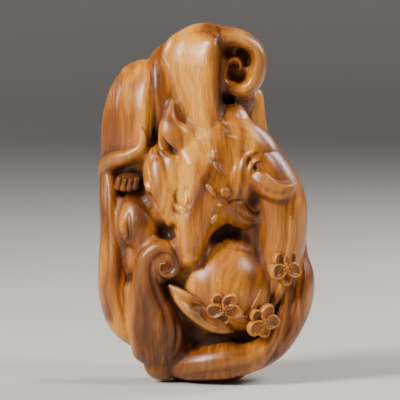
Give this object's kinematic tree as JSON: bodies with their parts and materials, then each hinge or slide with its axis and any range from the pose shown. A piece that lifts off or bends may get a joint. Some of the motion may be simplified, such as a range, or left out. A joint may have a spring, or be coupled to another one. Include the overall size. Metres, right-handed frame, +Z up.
{
  "type": "carved fox figurine",
  "caption": "Small fox asleep in a curl of its own tails, carved in polished golden wood, with a blossom branch; rests on a small flat foot.",
  "frame": {"origin": "middle of the flat foot, on the surface that the figurine stands on", "axes": "+Z up, +X to the right of someone who faces the fox, -Y towards that person"},
  "size_m": [0.0425, 0.0284, 0.0698],
  "materials": {
    "wood": "satin, polished by hand, with darker grain streaks and darker grooves"
  },
  "bodies": {
    "root": {"body_block": "wood", "tail_top": "wood", "tail_top_curl": "wood", "tail_upper_left": "wood", "tail_back": "wood", "tail_between": "wood", "back": "wood", "haunch": "wood", "head": "wood", "tail_lower_left": "wood", "tail_curled": "wood", "tail_bottom": "wood", "tail_right": "wood", "tail_hook": "wood", "lower_leg": "wood", "cheek_fur": "wood", "paw": "wood", "left_ear": "wood", "right_ear": "wood", "leaf": "wood", "branch": "wood", "left_blossom": "wood", "middle_blossom": "wood", "right_blossom": "wood", "eyelid": "wood", "nose": "wood", "forehead_mark": "wood"}
  },
  "joints": []
}
